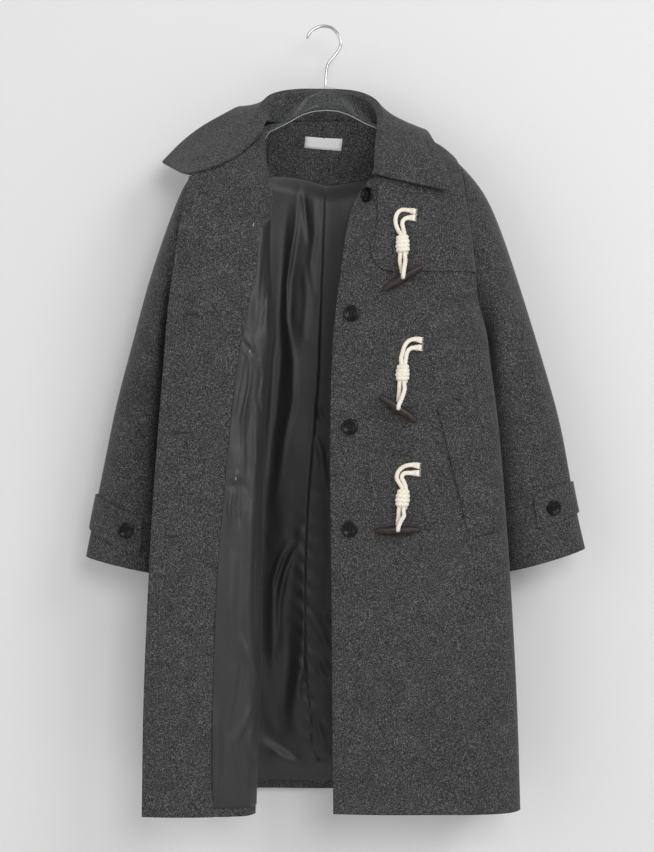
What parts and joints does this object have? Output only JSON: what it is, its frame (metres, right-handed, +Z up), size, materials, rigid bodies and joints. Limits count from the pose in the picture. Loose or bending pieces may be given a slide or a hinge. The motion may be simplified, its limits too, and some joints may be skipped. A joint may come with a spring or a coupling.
{
  "type": "duffle coat on a clothes hanger",
  "caption": "Long wool duffle coat hanging open on a clear hanger, one front turned back to show facing and lining, with toggle and button fastenings.",
  "frame": {"origin": "seat inside the top of the hanger's hook, where a rail carries it", "axes": "+Z up, +X to the viewer's right across the shoulders, +Y towards the coat's back"},
  "size_m": [0.7543, 0.1985, 1.1679],
  "materials": {
    "wool": "heathered melton wool",
    "satin": "smooth satin lining",
    "label_cloth": "plain woven, blank",
    "horn": "dark horn",
    "dark_wood": "dark stained, waxed",
    "cream_cord": "braided cotton",
    "clear_plastic": "clear moulded plastic",
    "hook_steel": "polished wire"
  },
  "bodies": {
    "root": {"front_left": "wool", "back": "wool", "front_right": "wool", "facing_right": "wool", "lining_right": "satin", "facing_left": "wool", "back_neck_facing": "wool", "lining_back": "satin", "sleeve_left": "wool", "sleeve_right": "wool", "collar": "wool", "storm_flap": "wool", "pocket_welt_left": "wool", "pocket_welt_right": "wool", "label": "label_cloth", "cuff_tab_left": "wool", "cuff_tab_right": "wool", "button_1": "horn", "button_2": "horn", "button_3": "horn", "button_4": "horn", "cuff_button_left": "horn", "cuff_button_right": "horn", "cord_1": "cream_cord", "knot_1": "cream_cord", "toggle_1": "dark_wood", "tail_1": "cream_cord", "cord_2": "cream_cord", "knot_2": "cream_cord", "toggle_2": "dark_wood", "tail_2": "cream_cord", "cord_3": "cream_cord", "knot_3": "cream_cord", "toggle_3": "dark_wood", "tail_3": "cream_cord", "loop_1": "cream_cord", "loop_2": "cream_cord", "loop_3": "cream_cord", "hanger_bar": "clear_plastic", "hanger_hook": "hook_steel"}
  },
  "joints": []
}
